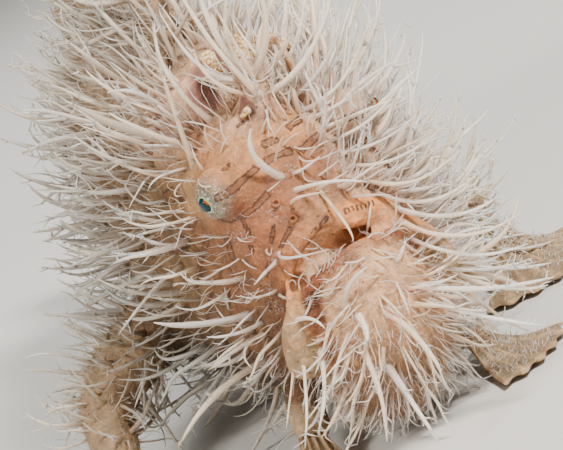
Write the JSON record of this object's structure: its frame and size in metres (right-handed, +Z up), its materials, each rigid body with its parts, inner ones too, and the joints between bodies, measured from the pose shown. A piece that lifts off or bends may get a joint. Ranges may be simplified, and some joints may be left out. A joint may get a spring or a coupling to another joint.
{
  "type": "frogfish model",
  "caption": "Life-size still model of a hairy frogfish resting on its limb-like fins, covered in long pale skin filaments, with a folded lure and an upturned mouth.",
  "frame": {"origin": "centre of the fish's box in plan, at floor level", "axes": "+Z up; -Y the way the fish faces, snout first; +X towards the fish's left side"},
  "size_m": [0.095, 0.1376, 0.0767],
  "materials": {
    "face": "moist salmon-pink skin, satin",
    "flank": "moist tan skin with brown streaks, satin",
    "filament": "translucent pale filament skin, satin",
    "lip": "smooth translucent pink-orange lip skin, satin",
    "eye": "wet, teal, glossy",
    "lure": "granular gold-cream skin, matt"
  },
  "bodies": {
    "root": {"head": "face", "trunk": "flank", "tail_stem": "flank", "upper_jaw": "lip", "lower_jaw": "face", "eye_right": "eye", "eye_left": "eye", "lure_rod": "filament", "lure": "lure", "dorsal_spine_second": "filament", "dorsal_spine_third": "flank", "dorsal_fin": "flank", "anal_fin": "flank", "caudal_fin": "flank", "pectoral_arm_right": "flank", "pectoral_arm_left": "flank", "pectoral_fin_right": "flank", "pectoral_fin_left": "flank", "pelvic_fin_right": "flank", "pelvic_fin_left": "flank"}
  },
  "joints": []
}
